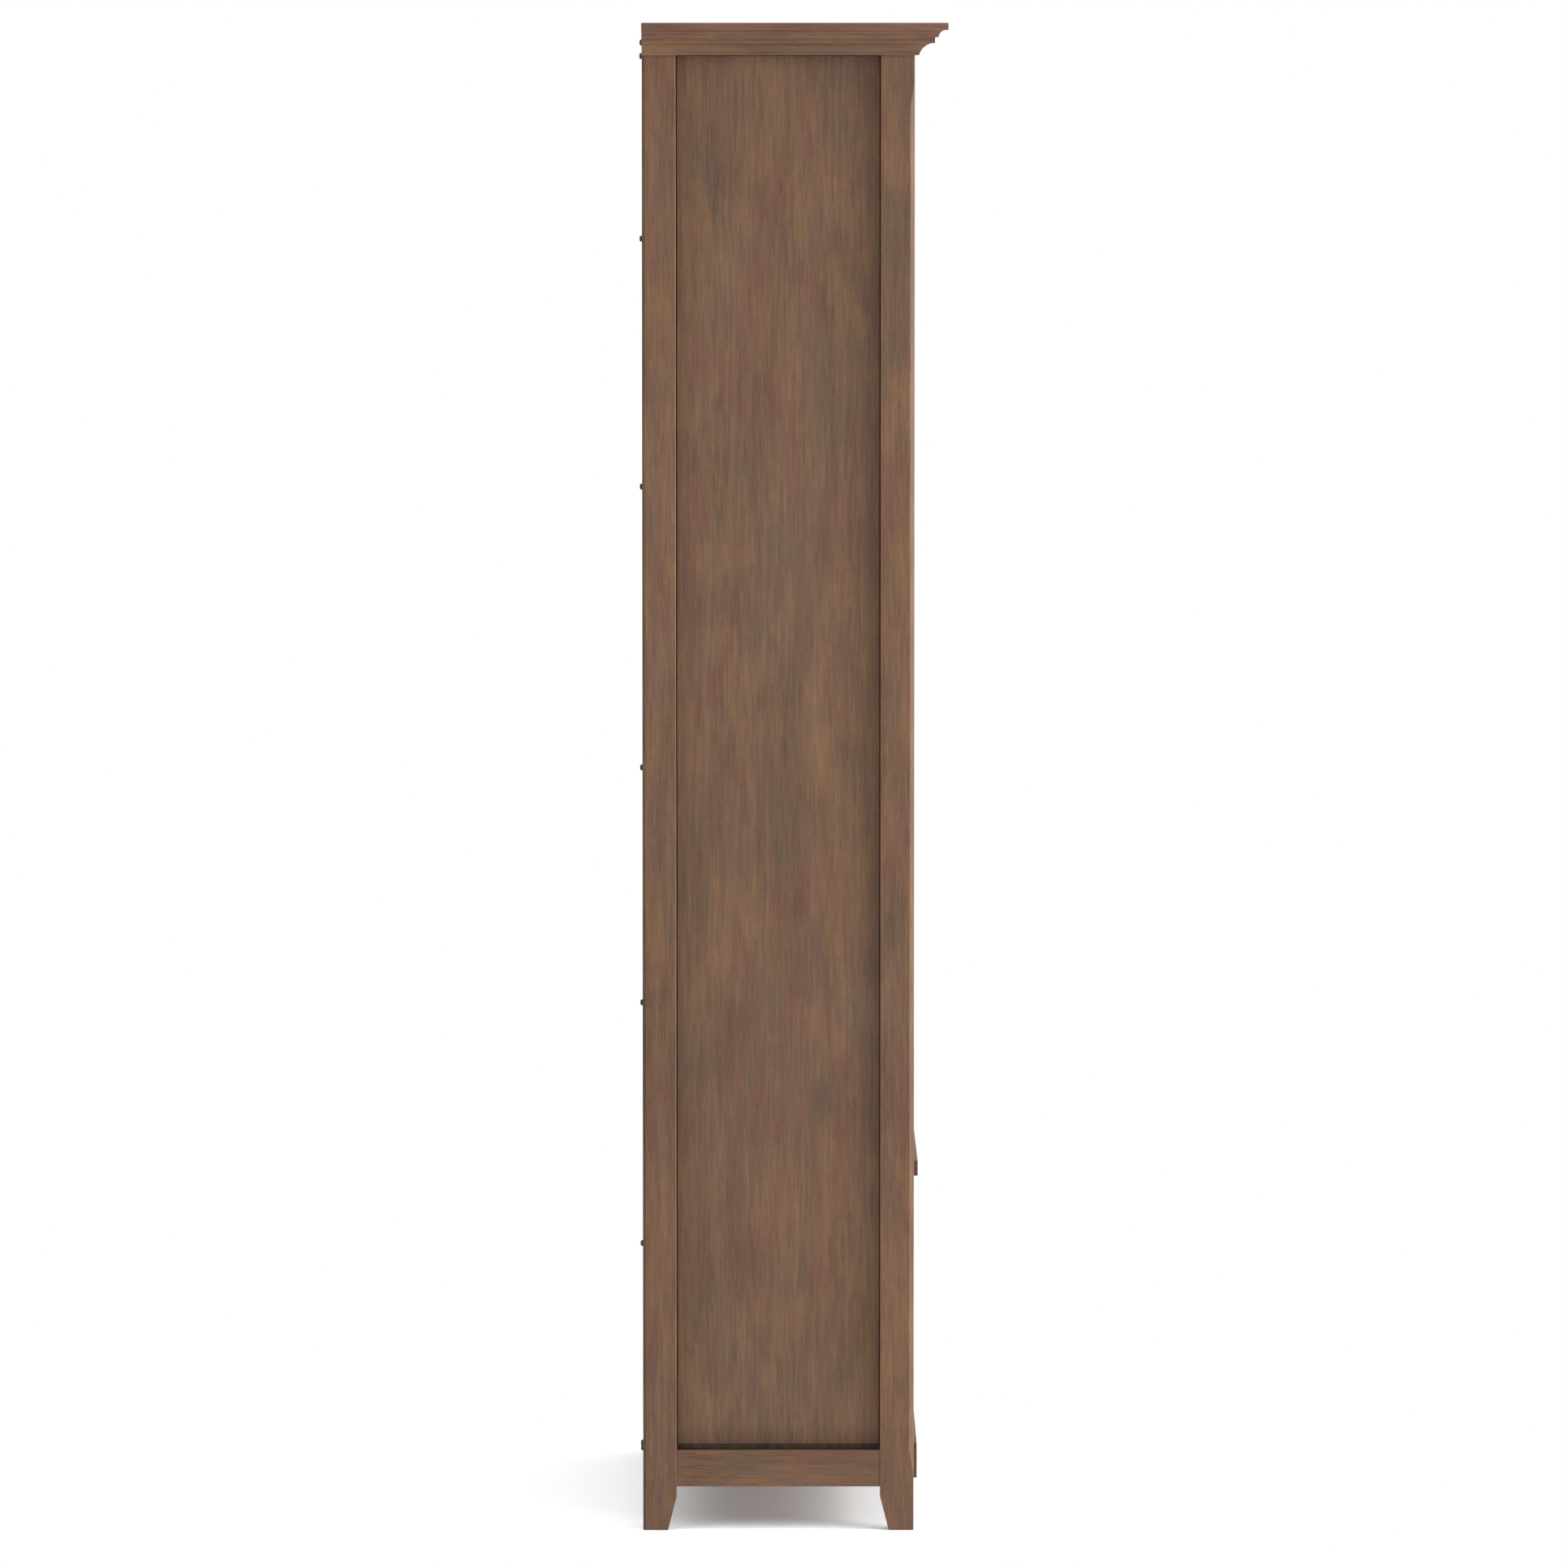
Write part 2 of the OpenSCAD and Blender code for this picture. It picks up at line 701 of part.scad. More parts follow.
module door_rails(z) {
    x = [hinge_edge_x + stile_w, lock_edge_x - stile_w];
    y = [door_y, door_back_y];
    panel_z = [z[0] + door_rail_w - groove_d, z[1] - door_rail_w + groove_d];
    difference() {
        union() {
            block(x, y, [z[0], z[0] + door_rail_w]);
            block(x, y, [z[1] - door_rail_w, z[1]]);
        }
        door_groove(panel_z);
    }
    door_groove([z[0], panel_z[0]]);
    door_groove([panel_z[1], z[1]]);
}

module door_panel(z) {
    grip = groove_d - panel_play;
    block([hinge_edge_x + stile_w - grip, lock_edge_x - stile_w + grip],
          [panel_y, panel_y + door_panel_t],
          [z[0] + door_rail_w - grip, z[1] - door_rail_w + grip]);
}

module door_hinge_leaves(hinge_zs) {
    for (h = hinge_zs) leaf(h, hinge_edge_x, false);
}

// a round plate with a sloping rim, and the eye that holds the ring
module pull_plate(pull_z) {
    r = plate_d / 2;
    rim = [[0, 0], [r, 0], [r, plate_t / 2], [r - plate_t, plate_t], [0, plate_t]];
    difference() {
        union() {
            translate([pull_x, door_y, pull_z]) rotate([90, 0, 0]) rotate_extrude() polygon(rim);
            translate([pull_x - eye_l / 2, eye_y, pull_z + eye_rise]) rotate([0, 90, 0])
                cylinder(r = eye_r + eye_wall, h = eye_l);
            block([pull_x - eye_l / 2, pull_x + eye_l / 2], [eye_y, door_y - plate_t / 2],
                  [pull_z + eye_rise - eye_r - eye_wall, pull_z + eye_rise + eye_r + eye_wall]);
        }
        translate([pull_x - eye_l / 2 - eps, eye_y, pull_z + eye_rise]) rotate([0, 90, 0])
            cylinder(r = eye_r, h = eye_l + 2 * eps);
    }
}

module pull_ring(pull_z) {
    translate([pull_x, eye_y, pull_z + eye_rise - ring_r]) rotate([90, 0, 0])
        rotate_extrude() translate([ring_r, 0]) circle(wire_r);
}

module strike(z) {
    top = z[1] - strike_drop;
    block([-catch_x - strike_w / 2, -catch_x + strike_w / 2], [door_back_y, door_back_y + strike_t],
          [top - strike_h, top]);
}

module side_catches() {
    y = door_back_y + strike_t + strike_gap;
    for (z = [top_rail_z, middle_z])
        block([-catch_x - catch_size[0] / 2, -catch_x + catch_size[0] / 2], [y, y + catch_size[1]],
              [z - catch_size[2], z]);
}

module magnet_catches() {
    color(DARK_METAL) union() {
        side_catches();
        on_right() side_catches();
    }
}

module upper_left_stiles() { color(FRAME_WOOD) door_stiles(upper_door_z, upper_hinges); }
module upper_left_rails() { color(FRAME_WOOD) door_rails(upper_door_z); }
module upper_left_panel() { color(PANEL_WOOD) door_panel(upper_door_z); }
module upper_left_hinge_leaves() { color(DARK_METAL) door_hinge_leaves(upper_hinges); }
module upper_left_pull_plate() { color(DARK_METAL) pull_plate(upper_pull_z); }
module upper_left_pull_ring() { color(DARK_METAL) pull_ring(upper_pull_z); }
module upper_left_strike() { color(STEEL) strike(upper_door_z); }
module upper_right_stiles() { on_right() upper_left_stiles(); }
module upper_right_rails() { on_right() upper_left_rails(); }
module upper_right_panel() { on_right() upper_left_panel(); }
module upper_right_hinge_leaves() { on_right() upper_left_hinge_leaves(); }
module upper_right_pull_plate() { on_right() upper_left_pull_plate(); }
module upper_right_pull_ring() { on_right() upper_left_pull_ring(); }
module upper_right_strike() { on_right() upper_left_strike(); }

module lower_left_stiles() { color(FRAME_WOOD) door_stiles(lower_door_z, lower_hinges); }
module lower_left_rails() { color(FRAME_WOOD) door_rails(lower_door_z); }
module lower_left_panel() { color(PANEL_WOOD) door_panel(lower_door_z); }
module lower_left_hinge_leaves() { color(DARK_METAL) door_hinge_leaves(lower_hinges); }
module lower_left_pull_plate() { color(DARK_METAL) pull_plate(lower_pull_z); }
module lower_left_pull_ring() { color(DARK_METAL) pull_ring(lower_pull_z); }
module lower_left_strike() { color(STEEL) strike(lower_door_z); }
module lower_right_stiles() { on_right() lower_left_stiles(); }
module lower_right_rails() { on_right() lower_left_rails(); }
module lower_right_panel() { on_right() lower_left_panel(); }
module lower_right_hinge_leaves() { on_right() lower_left_hinge_leaves(); }
module lower_right_pull_plate() { on_right() lower_left_pull_plate(); }
module lower_right_pull_ring() { on_right() lower_left_pull_ring(); }
module lower_right_strike() { on_right() lower_left_strike(); }

leg_front_left();
leg_front_right();
leg_back_left();
leg_back_right();
side_panel_left();
side_panel_right();
side_rail_lower_left();
side_rail_lower_right();
side_rail_upper_left();
side_rail_upper_right();
front_rail_top();
front_rail_middle();
front_rail_bottom();
back_rail_top();
back_rail_bottom();
top_board();
middle_board();
bottom_board();
back_panel_upper();
back_panel_lower();
crown_front();
crown_left();
crown_right();
shelf_upper_1();
shelf_upper_2();
shelf_upper_3();
shelf_lower();
shelf_pins();
back_screws();
hinge_frame_leaves();
hinge_pins();
magnet_catches();
upper_left_stiles();
upper_left_rails();
upper_left_panel();
upper_left_hinge_leaves();
upper_left_pull_plate();
upper_left_pull_ring();
upper_left_strike();
upper_right_stiles();
upper_right_rails();
upper_right_panel();
upper_right_hinge_leaves();
upper_right_pull_plate();
upper_right_pull_ring();
upper_right_strike();
lower_left_stiles();
lower_left_rails();
lower_left_panel();
lower_left_hinge_leaves();
lower_left_pull_plate();
lower_left_pull_ring();
lower_left_strike();
lower_right_stiles();
lower_right_rails();
lower_right_panel();
lower_right_hinge_leaves();
lower_right_pull_plate();
lower_right_pull_ring();
lower_right_strike();
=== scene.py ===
import bpy
import bmesh
import json
import math
import random
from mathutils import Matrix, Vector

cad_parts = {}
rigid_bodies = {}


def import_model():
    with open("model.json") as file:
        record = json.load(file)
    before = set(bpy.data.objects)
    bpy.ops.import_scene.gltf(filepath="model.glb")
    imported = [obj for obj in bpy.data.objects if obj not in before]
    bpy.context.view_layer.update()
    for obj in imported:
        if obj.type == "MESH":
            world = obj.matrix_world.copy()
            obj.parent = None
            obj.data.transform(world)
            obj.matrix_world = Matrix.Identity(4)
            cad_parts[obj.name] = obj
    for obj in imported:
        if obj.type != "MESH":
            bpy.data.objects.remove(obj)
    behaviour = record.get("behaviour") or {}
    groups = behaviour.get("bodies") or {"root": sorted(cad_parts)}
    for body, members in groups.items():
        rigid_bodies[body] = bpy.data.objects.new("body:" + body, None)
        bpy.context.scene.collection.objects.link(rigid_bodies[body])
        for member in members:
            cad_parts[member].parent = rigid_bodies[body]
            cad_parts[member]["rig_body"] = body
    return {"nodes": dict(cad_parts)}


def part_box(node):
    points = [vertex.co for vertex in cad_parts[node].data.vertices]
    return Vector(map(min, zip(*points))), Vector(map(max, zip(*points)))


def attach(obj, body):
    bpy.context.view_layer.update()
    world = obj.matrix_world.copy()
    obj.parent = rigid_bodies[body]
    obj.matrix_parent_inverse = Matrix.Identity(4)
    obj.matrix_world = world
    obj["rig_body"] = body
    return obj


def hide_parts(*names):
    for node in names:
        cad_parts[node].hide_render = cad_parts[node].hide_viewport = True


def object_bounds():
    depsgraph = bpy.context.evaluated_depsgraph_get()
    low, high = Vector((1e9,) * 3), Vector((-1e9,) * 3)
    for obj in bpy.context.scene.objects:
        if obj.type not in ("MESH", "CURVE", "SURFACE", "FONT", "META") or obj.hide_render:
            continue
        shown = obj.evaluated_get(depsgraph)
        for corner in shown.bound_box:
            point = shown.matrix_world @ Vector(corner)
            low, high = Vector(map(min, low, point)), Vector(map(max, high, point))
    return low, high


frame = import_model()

CAD_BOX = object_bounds()
NODES = frame["nodes"]
BODY_OF = {n: o["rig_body"] for n, o in NODES.items()}
DOORS = ["upper_left", "upper_right", "lower_left", "lower_right"]
X, Y, Z = 0, 1, 2
MM = 0.001

# how far the arrises are rounded
ARRIS = 0.5 * MM           # boards, doors and shelves
LEG_ARRIS = 1.0 * MM
CROWN_ARRIS = 0.8 * MM
BACK_ARRIS = 3.5 * MM      # outer rear edges of the legs
STEEL_ARRIS = 0.15 * MM    # hinge leaves, plates and strikes
HOUSING_ARRIS = 0.5 * MM   # moulded housings of the catches
SHORTEST_ARRIS = 22 * MM   # a board's edges shorter than this stay sharp
SHORTEST_STEEL = 4 * MM

# the thin rebate around a side panel, which draws a dark line, and whose faces are painted darker still,
# as shade
REBATE = 1.2 * MM          # width beside the legs
REBATE_TOP = 0.6 * MM      # width under the crown
REBATE_LOW = 5.5 * MM      # width over the lower rail
REBATE_DEPTH = 1.6 * MM
PAINTED_FOOT_SHADE_RISE = 26 * MM        # height over which painted shade darkens the panel towards the lower rail
PAINTED_FOOT_SHADE = 0.3                 # and by how much at its foot

# shades of faces: above 0 a face is darker than the rest, below 0 it is paler. The end grain's is the
# stain's own; the others are painted shade and painted highlight, partly wear on board arrises
SAWN = 0.5                 # end grain
PAINTED_REBATE_SHADE = 1.8               # painted shade in the rebate, and on the ledge of the rail under it
PAINTED_BACK_EDGE_SHADE = 1.0           # painted shade on the rounded rear edges of the legs
PAINTED_SLANT_HIGHLIGHT = -0.4              # painted highlight on chamfers and mouldings
EDGE_WEAR_AND_PAINTED_HIGHLIGHT = -0.75               # rounded arrises of boards: paler partly as wear, partly as a painted highlight
# painted highlights on the rounded arrises of the legs and the crown
PAINTED_LEG_EDGE_HIGHLIGHT = -1.1
PAINTED_CROWN_EDGE_HIGHLIGHT = -1.2
SHADE_DEPTH = 0.4          # part of the light that a shade of 1 takes away
# tones of boards: above 0 a whole board is paler than the rest
FRONT_LEG_TONE = 0.02
BACK_LEG_TONE = -0.05
LOWER_RAIL_TONE = -0.04
TONE_CHANCE = 0.03         # how far chance moves a board's tone, either way
LOG = 3                    # boards are cut from a log that reaches this many metres each way

HINGE_Y = -143.55 * MM     # line of the door hinges
FRAME_LEAF_X = 319 * MM    # visible faces of the hinge leaves, from the cabinet's middle
DOOR_LEAF_X = 316.5 * MM
PLATE_FACE = -144.75 * MM  # front of the pull plates
BACK_FACE = 182.85 * MM    # where the heads of the back screws begin
SCREW_SIDES = 32
CROSS_ARMS = (0.26, 0.86)  # half width and length of a cross recess's arms, over the flat top's radius


# ---- colours and nodes ----

def srgb(code):
    """A hex colour as linear RGBA."""
    parts = [int(code[i:i + 2], 16) / 255 for i in (1, 3, 5)]
    return [c / 12.92 if c <= 0.04045 else ((c + 0.055) / 1.055) ** 2.4 for c in parts] + [1.0]


def add(tree, kind, inputs=(), out=0, **settings):
    """Adds a node with its settings and gives one of its outputs. The inputs, which are values or other
    nodes' outputs, come in the order of the node's sockets, or by name or number in a dictionary."""
    made = tree.nodes.new("ShaderNode" + kind)
    for key, value in settings.items():
        setattr(made, key, value)
    for key, value in inputs.items() if isinstance(inputs, dict) else enumerate(inputs):
        if isinstance(value, bpy.types.NodeSocket):
            tree.links.new(value, made.inputs[key])
        else:
            made.inputs[key].default_value = value
    return made.outputs[out] if made.outputs else None


def new_material(name):
    material = bpy.data.materials.new(name)
    material.use_nodes = True
    material.node_tree.nodes.clear()
    return material, material.node_tree


# ---- materials ----
# A Mix node's colours are its inputs 6 and 7 and its output 2.

# Patterns of the grain: their size across, through and along the fibres in millimetres, then detail,
# roughness and distortion of the noise. Real pores and fibres are some tenths of a millimetre wide:
# pore, vessel, fine and fibre are drawn coarser, so that they show on a whole cabinet.
GRAIN = {
    "pore": ((0.87, 0.87, 16.7), 2.0, 0.5, 0.0),
    "vessel": ((2.38, 2.38, 111), 2.0, 0.5, 0.0),
    "speck": ((2.08, 2.08, 3.33), 2.0, 0.6, 0.0),
    "fine": ((1.61, 1.61, 26.3), 3.0, 0.6, 0.0),
    "fibre": ((4.35, 4.35, 83.3), 3.0, 0.55, 0.3),
    "bundle": ((16.1, 16.1, 294), 2.0, 0.5, 0.6),
    "cloud": ((41.7, 41.7, 111), 3.0, 0.55, 0.5),
    "broad": ((111, 111, 227), 2.0, 0.5, 0.3),
    "drift": ((58.8, 58.8, 143), 3.0, 0.6, 0.5),
    "blush": ((33.3, 33.3, 83.3), 3.0, 0.6, 0.5),
}
# how far each pattern swings the wood between light and dark
SWING = {"speck": 0.30, "fine": 0.80, "fibre": 0.50, "bundle": 0.34, "cloud": 0.46, "broad": 0.46}
# levels of a pattern between which a place goes from none to all of it, and the share at either end
OCHRE = (0.38, 0.62, 0.0, 1.0)
ROSY = (0.48, 0.66, 0.0, 0.85)
PORES = (0.61, 0.74, 0.0, 1.0)
VESSELS = (0.68, 0.78, 0.0, 1.0)
WANDER = (0.0, 1.0, -0.2, 0.2)     # how far the fibres move the ochre places
SATIN = (0.35, 0.65, 0.44, 0.56)   # roughness of the lacquer, which is duller over some fibres
STAIN_SHARE = 0.75         # share of the uneven colours in the wood's colour
PORE_DARK, VESSEL_DARK = 0.42, 0.55
PORE_SUNK = 0.5            # how deep pores lie under the lacquer's relief
RELIEF, RELIEF_HEIGHT = 0.25, 0.12 * MM    # of fine fibres under the lacquer
LACQUER_SHINE = 0.3        # less than a bare gloss varnish has


def stained_wood(name, body, warm, cool, rosy, pore):
    """Hardwood under a brown wiping stain and a satin lacquer: straight grain with open pores, uneven
    colour, and a soft gloss. The grain attribute gives metres across a board, through it and along its
    fibres; tone makes boards differ; shade darkens end grain and paints shade and highlight on single
    faces, and a second attribute paints shade at the foot of a side panel."""
    material, tree = new_material(name)
    grain = add(tree, "Attribute", out="Vector", attribute_name="grain")
    tone, shade, painted_foot_shade = (add(tree, "Attribute", out="Fac", attribute_name=layer)
                         for layer in ("tone", "shade", "painted_foot_shade"))
    lumps = {}
    for pattern, (size, detail, roughness, distortion) in GRAIN.items():
        per_metre = [1 / (length * MM) for length in size]
        sized = add(tree, "VectorMath", (grain, per_metre), operation="MULTIPLY")
        lumps[pattern] = add(tree, "TexNoise", {"Vector": sized, "Scale": 1.0, "Detail": detail,
                                                "Roughness": roughness, "Distortion": distortion})

    level = add(tree, "Math", (1.0, tone), operation="ADD")
    for pattern, width in SWING.items():
        swing = add(tree, "MapRange", (lumps[pattern], 0.0, 1.0, -width / 2, width / 2))
        level = add(tree, "Math", (level, swing), operation="ADD")
    dark = add(tree, "Math", (shade, SHADE_DEPTH), operation="MULTIPLY")
    dark = add(tree, "Math", (dark, painted_foot_shade), operation="ADD")
    level = add(tree, "Math", (level, dark), operation="SUBTRACT")

    # the stain takes to the wood unevenly: ochre, grey and reddish places
    wander = add(tree, "MapRange", (lumps["fibre"], *WANDER))
    drift = add(tree, "Math", (lumps["drift"], wander), operation="ADD")
    warmth = add(tree, "MapRange", (drift, *OCHRE))
    blush = add(tree, "MapRange", (lumps["blush"], *ROSY))
    hue = add(tree, "Mix", {0: warmth, 6: srgb(cool), 7: srgb(warm)}, 2, data_type="RGBA")
    hue = add(tree, "Mix", {0: blush, 6: hue, 7: srgb(rosy)}, 2, data_type="RGBA")
    colour = add(tree, "Mix", {0: STAIN_SHARE, 6: srgb(body), 7: hue}, 2, data_type="RGBA")

    # open pores and a few long dark vessels
    pores = add(tree, "MapRange", (lumps["pore"], *PORES))
    vessels = add(tree, "MapRange", (lumps["vessel"], *VESSELS))
    for places, strength in ((pores, PORE_DARK), (vessels, VESSEL_DARK)):
        part = add(tree, "Math", (places, strength), operation="MULTIPLY")
        colour = add(tree, "Mix", {0: part, 6: colour, 7: srgb(pore)}, 2, data_type="RGBA")
    colour = add(tree, "Mix", {0: 1.0, 6: colour, 7: level}, 2, data_type="RGBA", blend_type="MULTIPLY")

    satin = add(tree, "MapRange", (lumps["fibre"], *SATIN))
    sunk = add(tree, "Math", (pores, PORE_SUNK), operation="MULTIPLY")
    relief = add(tree, "Math", (lumps["fine"], sunk), operation="SUBTRACT")
    bump = add(tree, "Bump", {"Strength": RELIEF, "Distance": RELIEF_HEIGHT, "Height": relief})
    wood = add(tree, "BsdfPrincipled", {"Base Color": colour, "Roughness": satin,
                                        "Specular IOR Level": LACQUER_SHINE, "Normal": bump})
    add(tree, "OutputMaterial", {"Surface": wood})
    return material


RUBBED_COAT = (0.42, 0.66, 0.0, 1.0)       # pattern levels between which a coating is whole and rubbed
POLISH = (0.35, 0.65)                      # and between which steel is smoother and rougher
SMOOTHER, ROUGHER = -0.06, 0.08
MOULD_MARKS = (0.4, 0.65, 0.0, 1.0)
MOULD_SHEEN = (0.4, 0.65, 0.45, 0.6)
COAT_CLOUD, POLISH_SPECK, MOULD_GRAIN = 3.8 * MM, 0.7 * MM, 2 * MM


def coated_steel(name, colour, lighter, roughness, metallic):
    """Painted or plated steel: clouds of rubbed coating a few millimetres wide, and a fine polish."""
    material, tree = new_material(name)
    place = add(tree, "TexCoord", out="Object")
    cloud = add(tree, "TexNoise",
                {"Vector": place, "Scale": 1 / COAT_CLOUD, "Detail": 3.0, "Roughness": 0.55})
    speck = add(tree, "TexNoise",
                {"Vector": place, "Scale": 1 / POLISH_SPECK, "Detail": 2.0, "Roughness": 0.55})
    bare = add(tree, "MapRange", (cloud, *RUBBED_COAT))
    tint = add(tree, "Mix", {0: bare, 6: srgb(colour), 7: srgb(lighter)}, 2, data_type="RGBA")
    polish = add(tree, "MapRange", (speck, *POLISH, roughness + SMOOTHER, roughness + ROUGHER))
    steel = add(tree, "BsdfPrincipled", {"Base Color": tint, "Roughness": polish, "Metallic": metallic})
    add(tree, "OutputMaterial", {"Surface": steel})
    return material


def moulded_plastic(name, colour, pale):
    """ABS housing: a dull, even brown with the faint texture of its mould, two millimetres wide."""
    material, tree = new_material(name)
    place = add(tree, "TexCoord", out="Object")
    cloud = add(tree, "TexNoise",
                {"Vector": place, "Scale": 1 / MOULD_GRAIN, "Detail": 3.0, "Roughness": 0.55})
    marks = add(tree, "MapRange", (cloud, *MOULD_MARKS))
    tint = add(tree, "Mix", {0: marks, 6: srgb(colour), 7: srgb(pale)}, 2, data_type="RGBA")
    sheen = add(tree, "MapRange", (cloud, *MOULD_SHEEN))
    plastic = add(tree, "BsdfPrincipled", {"Base Color": tint, "Roughness": sheen})
    add(tree, "OutputMaterial", {"Surface": plastic})
    return material


# solid boards, and the slightly darker veneer of panels and shelves
frame_wood = stained_wood("stained_frame_wood", "#735543", "#7b5c42", "#685241", "#714e40", "#443021")
panel_wood = stained_wood("stained_panel_wood", "#715442", "#795b42", "#665141", "#6f4d3f", "#423021")
# oil-rubbed bronze paint lets a little steel shine through, zinc plate is bare metal
bronze = coated_steel("dark_bronzed_steel", "#2b221d", "#43352b", 0.42, 0.75)
zinc = coated_steel("zinc_plated_steel", "#8d8d8a", "#a5a5a2", 0.34, 1.0)
housing = moulded_plastic("brown_plastic_housing", "#3a2a20", "#46342a")

# each finish, paired with the name of a slot
FRAME = (frame_wood, "frame_wood")
PANEL = (panel_wood, "panel_wood")
DARK = (bronze, "dark_steel")
PULL = (bronze, "bronzed_metal")
PLATED = (zinc, "plated_steel")
MOULDED = (housing, "dark_steel")


# ---- tools for dressed copies of the CAD pieces ----

FACING = 0.9               # how squarely a face looks along an axis to count as facing that way
SLANTED = 0.85             # a face that looks less squarely than this along every axis is slanted
WOOD_CORNER = 28.0         # degrees between two faces, past which their edge is rounded
STEEL_CORNER = 60.0


def islands(bm):
    """Lists of joined vertices, one list per loose part, in a fixed order."""
    seen, found = set(), []
    for start in bm.verts:
        if start in seen:
            continue
        part, todo = [], [start]
        seen.add(start)
        while todo:
            v = todo.pop()
            part.append(v)
            for e in v.link_edges:
                other = e.other_vert(v)
                if other not in seen:
                    seen.add(other)
                    todo.append(other)
        found.append(part)
    return found


def clean_copy(node):
    """A CAD piece's shape, with its loose triangles joined and its flat faces made whole."""
    bm = bmesh.new()
    bm.from_mesh(NODES[node].data)
    bmesh.ops.remove_doubles(bm, verts=bm.verts, dist=1e-6)
    bmesh.ops.dissolve_limit(bm, angle_limit=0.003, use_dissolve_boundaries=False,
                             verts=bm.verts, edges=bm.edges)
    return bm


def parts_of(node):
    """The low and high corners of each loose part of a CAD piece."""
    bm = clean_copy(node)
    found = [[[pick(v.co[i] for v in part) for i in (X, Y, Z)] for pick in (min, max)]
             for part in islands(bm)]
    bm.free()
    return found


def finish_piece(bm, name, body, finish, smooth=None):
    """Turns a shape into a piece of its body; smooth is the angle up to which its faces run together."""
    material, slot = finish
    mesh = bpy.data.meshes.new(name)
    bm.normal_update()
    bm.to_mesh(mesh)
    bm.free()
    mesh.materials.append(material)
    if smooth is not None:
        mesh.shade_smooth()
        mesh.set_sharp_from_angle(angle=math.radians(smooth))
    piece = bpy.data.objects.new(name, mesh)
    bpy.context.scene.collection.objects.link(piece)
    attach(piece, body)
    return piece


def chains(edges):
    """Groups edges that meet at their ends, in a fixed order."""
    left, found = dict.fromkeys(edges), []
    while left:
        chain = [next(iter(left))]
        del left[chain[0]]
        for e in chain:
            for v in e.verts:
                for other in v.link_edges:
                    if other in left:
                        del left[other]
                        chain.append(other)
        found.append(chain)
    return found


def soften(bm, offset, shortest, corner=WOOD_CORNER):
    """Rounds the arrises that are longer than shortest and turn by more than corner. Each chain of
    them is rounded by itself, so that a narrow place in one doesn't hold back the others."""
    edges = [e for e in bm.edges
             if len(e.link_faces) == 2 and e.calc_length() > shortest
             and e.calc_face_angle() > math.radians(corner)]
    made = []
    for chain in chains(edges):
        made += bmesh.ops.bevel(bm, geom=chain, offset=offset, offset_type="OFFSET", segments=2,
                                profile=0.5, affect="EDGES", clamp_overlap=True, material=-1)["faces"]
    return [f for f in made if f.is_valid]


def slice_faces(bm, faces, axis, places):
    """Cuts faces across an axis at these places, and returns all of their parts."""
    normal = [float(i == axis) for i in (X, Y, Z)]
    for place in places:
        geom = set(faces)
        for f in faces:
            geom.update(f.edges)
            geom.update(f.verts)
        point = [place * n for n in normal]
        cut = bmesh.ops.bisect_plane(bm, geom=list(geom), dist=1e-7, plane_co=point, plane_no=normal)
        faces = [g for g in cut["geom"] if isinstance(g, bmesh.types.BMFace)]
    return faces


def raise_faces(bm, faces, step):
    """Extrudes a patch of faces by a step, which may point inwards."""
    made = bmesh.ops.extrude_face_region(bm, geom=faces)["geom"]
    bmesh.ops.delete(bm, geom=faces, context="FACES")
    bmesh.ops.translate(bm, vec=step, verts=[g for g in made if isinstance(g, bmesh.types.BMVert)])
    return [g for g in made if isinstance(g, bmesh.types.BMFace)]


# ---- timber ----

def timber(bm, node, along, finish, tone=0.0, painted_shading=None, arris=ARRIS, lighter=EDGE_WEAR_AND_PAINTED_HIGHLIGHT):
    """Finishes a board whose fibres run along an axis: rounded arrises, a little paler partly as wear
    and partly as a painted highlight, and its own cut of the grain. A dictionary of face numbers gives
    single
    faces their own shade: painted shade and painted highlight."""
    shade = bm.faces.layers.float.new("shade")
    for f in bm.faces:
        f[shade] = SAWN if abs(f.normal[along]) > FACING else 0.0
        if max(abs(c) for c in f.normal) < SLANTED:
            f[shade] = PAINTED_SLANT_HIGHLIGHT
    bm.faces.ensure_lookup_table()
    for i, painted_value in (painted_shading or {}).items():
        bm.faces[i][shade] = painted_value
    for f in soften(bm, arris, SHORTEST_ARRIS):
        f[shade] = lighter
    grain = bm.verts.layers.float_vector.new("grain")
    own = bm.verts.layers.float.new("tone")
    across = [i for i in (X, Y, Z) if i != along]
    for i, part in enumerate(islands(bm)):
        chance = random.Random(f"{node}{i}")
        move = [chance.uniform(-LOG, LOG) for _ in (X, Y, Z)]
        change = tone + chance.uniform(-TONE_CHANCE, TONE_CHANCE)
        for v in part:
            v[grain] = (v.co[across[0]] + move[0], v.co[across[1]] + move[1], v.co[along] + move[2])
            v[own] = change
    piece = finish_piece(bm, f"{node}_timber", BODY_OF[node], finish)
    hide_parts(node)


def board(node, along, finish, tone=0.0, arris=ARRIS, lighter=EDGE_WEAR_AND_PAINTED_HIGHLIGHT):
    """A board that needs no more than timber gives it."""
    timber(clean_copy(node), node, along, finish, tone, arris=arris, lighter=lighter)


def round_post_edge(bm, x, y, offset, segments):
    """Rounds the upright edge at this x and y."""
    edge = [e for e in bm.edges
            if all(abs(v.co.x - x) < 1e-5 and abs(v.co.y - y) < 1e-5 for v in e.verts)]
    bmesh.ops.bevel(bm, geom=edge, offset=offset, offset_type="OFFSET", segments=segments, profile=0.5,
                    affect="EDGES", material=-1)


